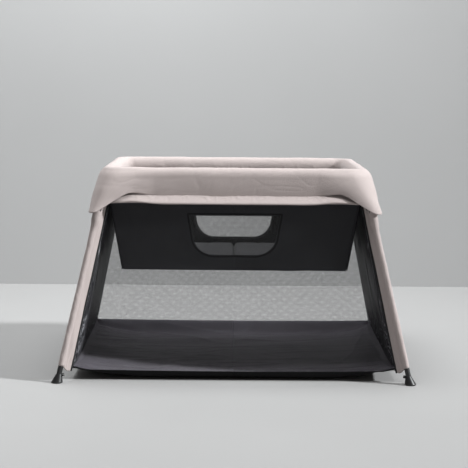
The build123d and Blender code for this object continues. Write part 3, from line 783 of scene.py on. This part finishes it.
def long_panel_half(end, side):
    """Half of a long bassinet panel: rings from the window's outline out to the panel's edge."""
    low_half, top_half = BASSINET_LOW[0], BASSINET_TOP[0]
    low_z, top_z, r, bend_steps = BASSINET_LOW[2], BASSINET_TOP[2], 0.012, 12
    angle = np.linspace(-math.pi / 2, 0, bend_steps + 1)
    corner = np.array([low_half - r, low_z + r]) + r * np.stack([np.cos(angle), np.sin(angle)], -1)
    low_steps = WINDOW_RUNS[0] + WINDOW_RUNS[1] // 2
    side_steps = sum(WINDOW_RUNS[:3]) - low_steps - bend_steps
    low_edge = np.linspace([0, low_z], corner[0], low_steps + 1)
    side_edge = np.linspace(corner[-1], [top_half, top_z], side_steps + 1)
    top_edge = np.linspace([top_half, top_z], [0, top_z], WINDOW_RUNS[3] + 1)
    outer = np.vstack([low_edge, corner[1:], side_edge[1:], top_edge[1:]])
    hole = window_line()
    share = np.linspace(0, 1, 34) ** 1.15
    flat = hole[:, None] + (outer - hole)[:, None] * share[:, None]
    grid = panel_point(flat, end) * (side, 1, 1)
    return grid if side * end < 0 else grid[:, ::-1]


def window_half(end, side, steps=44):
    """Half of a window's mesh, which reaches under its binding."""
    line = window_line(0.002)[WINDOW_RUNS[0]:-WINDOW_RUNS[3]]
    z = np.linspace(line[0, 1], line[-1, 1], steps)
    half = np.interp(z, line[:, 1], line[:, 0])
    flat = np.stack(np.broadcast_arrays(half[:, None] * np.linspace(0, 1, steps), z[:, None]), -1)
    return panel_point(flat, end) * (side, 1, 1)


def tape_along(name, path, normal, width, thick, material):
    """A flat binding of rounded section along a line, standing on a surface with that normal."""
    along = unit(np.gradient(path, axis=0))
    side = unit(np.cross(along, normal))
    normal = np.cross(side, along)
    angle = np.linspace(0, 2 * math.pi, 14, endpoint=False)[:, None]
    c, s = np.cos(angle), np.sin(angle)
    across = np.sign(c) * np.abs(c) ** 0.5 * width / 2
    up = np.sign(s) * np.abs(s) ** 0.7 * thick / 2
    grid = path[:, None] + side[:, None] * across + normal[:, None] * up
    return grid_piece(name, grid, material, closed_v=True)


def bassinet_end_grid(side, columns=61, rows=40):
    """The bassinet's end panel, a little slack."""
    v = np.linspace(0, 1, rows)[:, None]
    u = np.linspace(-1, 1, columns)
    edge = BASSINET_LOW + v * (BASSINET_TOP - BASSINET_LOW)
    grid = np.repeat(edge[:, None], columns, 1)
    grid[..., 1] *= u
    slack = (1 - u**4) * np.sin(math.pi * v)
    grid[..., 0] += slack * (0.004 + 0.0018 * ripple(grid, (0.1, 0.10, 0.06), 101 + side))
    return grid * (side, 1, 1)


def bassinet_floor_grid(side, columns=50, rows=50):
    """Half of the fabric under the mattress."""
    x = np.linspace(0, BASSINET_LOW[0] - 0.002, columns)
    y = np.linspace(-1, 1, rows) * (BASSINET_LOW[1] - 0.002)
    grid = np.stack(np.broadcast_arrays(x[:, None], y, BASSINET_LOW[2]), -1)
    grid[..., 2] += 0.0005 * ripple(grid, 0.09, 111)
    return grid * (side, 1, 1)


def mattress_half(side):
    """Half of the bassinet's pad: crowned, with round edges and sewn channels."""
    half_x, half_y = BASSINET_LOW[0] - 0.010, BASSINET_LOW[1] - 0.010
    x = crowded(np.linspace(0, 1, 90), 1.6) * half_x
    y = crowded(np.linspace(-1, 1, 100), 1.5) * half_y
    gx, gy = np.meshgrid(x, y, indexing="ij")
    corner = 0.030
    dx = np.maximum(gx - (half_x - corner), 0) / corner
    dy = np.maximum(np.abs(gy) - (half_y - corner), 0) / corner
    pull = np.maximum(np.maximum(dx, dy), 1e-9) / np.maximum(np.hypot(dx, dy), 1e-9)
    inside = (dx > 0) & (dy > 0)
    gx = np.where(inside, half_x - corner + dx * corner * pull, gx)
    gy = np.where(inside, np.sign(gy) * (half_y - corner + dy * corner * pull), gy)
    edge = np.minimum.reduce([np.clip(half_x - gx, 0, 1), np.clip(half_y - np.abs(gy), 0, 1), gx])
    edge = np.where(inside, np.minimum(edge, corner * (1 - np.clip(np.hypot(dx, dy), 0, 1))), edge)
    full = np.sqrt(np.clip(1 - (1 - np.clip(edge / 0.016, 0, 1)) ** 2, 0, 1))
    from_channel = np.abs((gx + CHANNEL_GAP / 2) % CHANNEL_GAP - CHANNEL_GAP / 2)
    channels = 0.0030 * hump(from_channel / 0.006) * smooth(edge / 0.02)
    p = np.stack([gx, gy, 0 * gx], -1)
    soft = 0.0008 * ripple(p * (side, 1, 1), 0.07, 121) * full
    soft += 0.0015 * np.sin(math.pi * np.clip(edge / 0.17, 0, 0.5))
    middle = MATTRESS_Z + MATTRESS_THICK / 2
    top = middle + full * (MATTRESS_THICK / 2 - 0.0015) - channels + soft
    low = middle - full * (MATTRESS_THICK / 2 - 0.0005)
    upper, lower = np.stack([gx, gy, top], -1), np.stack([gx, gy, low], -1)
    return upper * (side, 1, 1), lower * (side, 1, 1)


def closed_from_two(name, upper, lower, material):
    """A closed piece from two grids that share their border."""
    a = grid_piece(name + "_a", upper, material)
    b = grid_piece(name + "_b", lower[::-1], material)
    obj = joined(name, [a, b])
    bm = bmesh.new()
    bm.from_mesh(obj.data)
    bmesh.ops.remove_doubles(bm, verts=bm.verts, dist=0.00012)
    bmesh.ops.recalc_face_normals(bm, faces=bm.faces)
    bm.to_mesh(obj.data)
    bm.free()
    return obj


# --- build ----------------------------------------------------------------------------------
BODY_FOLDS = (0.535, 0.22)             # height that it flattens up to, and the share it keeps
BASSINET_FOLDS = (0.560, 0.12)


def ride_half(obj, side, slot, *nodes, folds=BASSINET_FOLDS):
    """Rides on a half in place of its CAD nodes."""
    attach(obj, "left_half" if side < 0 else "right_half")
    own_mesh(obj)
    if nodes:
        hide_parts(*nodes)


def split_halves(name, grid, material, thickness=None, lining=None):
    """Two pieces of one grid of points, cut where x is 0."""
    middle = int(np.argmin(np.abs(grid[:, grid.shape[1] // 2, 0])))
    pieces = {}
    for side_name, part in (("left", grid[:middle + 1]), ("right", grid[middle:])):
        obj = grid_piece(f"{side_name}_{name}", part, material)
        if thickness:
            thicken(obj, thickness, lining=lining)
        pieces[side_name] = obj
    return pieces


def build_rim():
    """The padded cover, the band under it and the stitches along its hem."""
    grid = soften_rim(rim_cover())
    cover = thicken(grid_piece("padded_rim", grid, RIM_FABRIC, closed_u=True), 0.0018, 1.0)
    band_grid = rim_band()
    band = grid_piece("rim_band", band_grid, RIM_FABRIC, closed_u=True)
    closed = np.append(np.arange(len(grid)), 0)
    n = normals_of(grid, closed_u=True)
    rows = []
    for i, back in enumerate((-3, -5)):
        line = (grid[:, back] + n[:, back] * 0.00015)[closed]
        rows.append(stitch_row(f"hem_stitches_{i}", line, n[:, back][closed], THREAD))
    stitches = joined("hem_stitches", rows)
    for obj in (cover, band, stitches):
        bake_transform(obj)
    halves = [f"{s}_{n}" for s in SIDES for n in ("rim_cover", "rim_pad", "corner_flaps")]
    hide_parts(*halves)


def build_legs():
    """A sleeve and a flat fin for each leg."""
    for i, (corner, sx, sy) in enumerate(CORNERS):
        tube = thicken(grid_piece(f"{corner}_sleeve", sleeve_tube(sx, sy, 200 + i * 10), SLEEVE_FABRIC,
                                  closed_v=True), 0.0010, 0.0)
        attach(tube, f"{corner}_leg")
        grid = fin_grid(sx, sy, 300 + i * 10)
        fin = thicken(grid_piece(f"{corner}_fin", grid, SLEEVE_FABRIC), 0.0012, 0.0)
        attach(fin, f"{corner}_leg")
        middle = mirror_to(on_leg(np.array([0.28])), sx, sy)[0]
        seam = mirror_to(on_seam(np.array([0.28])), sx, sy)[0]
        leg = unit(mirror_to(ANKLE - PIVOT, sx, sy))
        across = seam - middle
        across = unit(across - leg * (across @ leg))
        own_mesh(fin)
        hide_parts(f"{corner}_leg_sleeve")


def build_body():
    """Mesh walls, end panels, base and piping."""
    for end_name, end in ENDS.items():
        for side_name, obj in split_halves(f"{end_name}_wall", wall_grid(end), BODY_MESH).items():
            ride_half(obj, SIDES[side_name], "body_mesh", f"{end_name}_{side_name}_wall", folds=BODY_FOLDS)
    for side_name, side in SIDES.items():
        grid, highlight_amount = end_wall_grid(side)
        panel = grid_piece(f"{side_name}_end_panel", grid, OUTSIDE_FABRIC)
        # the panel's lining gets the painted highlight on its sharpest creases
        mark_painted_highlights(panel, highlight_amount)
        obj = thicken(panel, 0.0008, lining=BODY_FABRIC)
        ride_half(obj, side, "body_fabric", f"{side_name}_end_wall", folds=BODY_FOLDS)
    for side_name, obj in split_halves("base", base_grid(), BASE_FABRIC_PAINTED_LIGHT, 0.0022, BORDER_FABRIC).items():
        # the front strip keeps the fabric's near-black tone, and the rest of the base keeps the painted light
        # of its lightened tone
        for face in obj.data.polygons:
            if face.center.y < 0.012 - WALL_LOW[1]:
                face.material_index = 1
        ride_half(obj, SIDES[side_name], "body_fabric", f"{side_name}_base_panel", folds=BODY_FOLDS)
    for corner, sx, sy in CORNERS:
        z = np.linspace(0.540, 0.031, 120)
        path = mirror_to(on_seam(z), sx, sy)
        obj = capped_tube(f"{corner}_piping", path, 0.0034, TAPE_FABRIC, 14, (sx, sy, 0.2), 0.8)
        ride_half(obj, sx, "body_fabric", folds=BODY_FOLDS)


def build_bassinet():
    """Side panels with their windows, end panels, floor and mattress."""
    for side_name, side in SIDES.items():
        for end_name, end in ENDS.items():
            grid = long_panel_half(end, side)
            panel = grid_piece(f"{end_name}_{side_name}_bassinet_side", grid, BASSINET_FABRIC)
            obj = thicken(panel, 0.0018, -1.0, LINING_FABRIC)
            ride_half(obj, side, "bassinet_fabric", f"{end_name}_{side_name}_bassinet_panel")
            mesh = grid_piece(f"{end_name}_{side_name}_window", window_half(end, side), WINDOW_MESH)
            ride_half(mesh, side, "window_mesh")
            if end < 0:
                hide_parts(f"{side_name}_window_meshes")
            path = panel_point(window_line(0.0045), end) * (side, 1, 1)
            path[:, 1] += end * 0.0004
            binding = tape_along(f"{end_name}_{side_name}_window_binding", path, np.array([0, end, -0.15]),
                                 0.009, 0.0030, TAPE_FABRIC)
            ride_half(binding, side, "bassinet_fabric")
        panel = grid_piece(f"{side_name}_bassinet_end_panel", bassinet_end_grid(side), BASSINET_FABRIC)
        obj = thicken(panel, 0.0018)
        ride_half(obj, side, "bassinet_fabric", f"{side_name}_bassinet_end")
        panel = grid_piece(f"{side_name}_bassinet_base", bassinet_floor_grid(side), LINING_FABRIC)
        obj = thicken(panel, 0.0018)
        ride_half(obj, side, "bassinet_fabric", f"{side_name}_bassinet_floor")
        upper, lower = mattress_half(side)
        obj = closed_from_two(f"{side_name}_mattress", upper, lower, MATTRESS_FABRIC)
        ride_half(obj, side, "mattress_fabric", f"{side_name}_mattress_half")


def finish_cad_nodes():
    """Procedural materials for the CAD nodes that stay in view."""
    kinds = {"rail_tube": ALUMINIUM, "leg_tube": ALUMINIUM, "rivets": STEEL, "pins": STEEL,
             "foot": FOOT_PLASTIC, "release_button": BUTTON_PLASTIC, "corner_joint": BLACK_PLASTIC,
             "leg_lug": BLACK_PLASTIC, "hinge_bracket": BLACK_PLASTIC}
    for name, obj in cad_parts.items():
        for ending, material in kinds.items():
            if name.endswith(ending):
                obj.data.materials.clear()
                obj.data.materials.append(material)


# --- stage ----------------------------------------------------------------------------------
WALL_DISTANCE = 1.40
KEY_STRENGTH, KEY_HEIGHT, KEY_TURN = 4.6, math.radians(28.5), math.radians(-12)
FILL_STRENGTH, TOP_POWER, WASH_POWER = 0.15, 90, 20
WARM, COOL = (1.0, 0.965, 0.945), (0.965, 0.99, 1.0)


def stage_material(name, colour):
    """Matt paint with hardly any variation."""
    m, n = new_material(name)
    n.feed("Base Color", n.tones(n.noise(2.0, 2.0), colour, 0.012))
    n.look(Roughness=0.8, Specular_IOR_Level=0.2)
    return m


def build_stage():
    """The floor, and a backdrop that shows only from the front."""
    far = 12.0
    corners = np.array([[-far, -far, 0], [far, -far, 0], [far, far, 0], [-far, far, 0]], float)
    floor_paint = stage_material("floor_paint", (0.370, 0.366, 0.364))
    floor = new_piece("floor", corners, [(0, 1, 2, 3)], floor_paint)
    wall_paint = stage_material("wall_paint", (0.475, 0.475, 0.475))
    n = Nodes(wall_paint)
    clear = n.add("BsdfTransparent")
    mix = n.add("MixShader")
    n.link(n.add("NewGeometry").outputs["Backfacing"], mix.inputs[0])
    n.link(n.bsdf.outputs[0], mix.inputs[1])
    n.link(clear.outputs[0], mix.inputs[2])
    n.link(mix.outputs[0], n.tree.nodes["Material Output"].inputs["Surface"])
    y = WALL_DISTANCE
    corners = np.array([[far, y, 0], [-far, y, 0], [-far, y, far], [far, y, far]], float)
    wall = new_piece("wall", corners, [(3, 2, 1, 0)], wall_paint)


def area_light(name, place, target, size, power):
    """A round soft light at place, turned to target."""
    data = bpy.data.lights.new(name, "AREA")
    data.shape, data.size, data.energy, data.color = "DISK", size, power, COOL
    obj = add_object(name, data)
    obj.location = place
    obj.rotation_mode = "QUATERNION"
    obj.rotation_quaternion = (Vector(target) - Vector(place)).to_track_quat("-Z", "Y")


def build_lights():
    """A low key from the right, a soft light above, a wash on the wall and an even fill."""
    data = bpy.data.lights.new("key", "SUN")
    data.energy, data.angle, data.color = KEY_STRENGTH, math.radians(4), COOL
    add_object("key", data).rotation_euler = (0, math.radians(90) - KEY_HEIGHT, KEY_TURN)
    area_light("top", (-0.2, -0.2, 3.4), (0, 0, 0.3), 2.4, TOP_POWER)
    area_light("wall_wash", (-0.5, 0.30, 2.7), (-0.5, WALL_DISTANCE, 1.0), 1.4, WASH_POWER)
    world = bpy.data.worlds.new("studio")
    world.use_nodes = True
    background = world.node_tree.nodes["Background"]
    background.inputs["Color"].default_value = (*WARM, 1)
    background.inputs["Strength"].default_value = FILL_STRENGTH
    bpy.context.scene.world = world
    bpy.context.scene.view_settings.view_transform = "Standard"


CAMERA_PLACE, LENS = (-0.0252, -3.9646, 0.9072), 93.47
YAW, TILT, ROLL = math.radians(-0.3515), math.radians(90 - 7.1763), math.radians(0.4755)


def build_camera():
    """Seen from the front, from above the rim, with a long lens."""
    data = bpy.data.cameras.new("camera")
    data.sensor_width, data.lens = 36.0, LENS
    data.clip_start, data.clip_end = 0.05, 60
    cam = add_object("camera", data)
    turn = Matrix.Rotation(YAW, 4, "Z") @ Matrix.Rotation(TILT, 4, "X") @ Matrix.Rotation(ROLL, 4, "Z")
    cam.matrix_world = Matrix.Translation(CAMERA_PLACE) @ turn
    bpy.context.scene.camera = cam


build_rim()
build_legs()
build_body()
build_bassinet()
finish_cad_nodes()
build_stage()
build_lights()
build_camera()
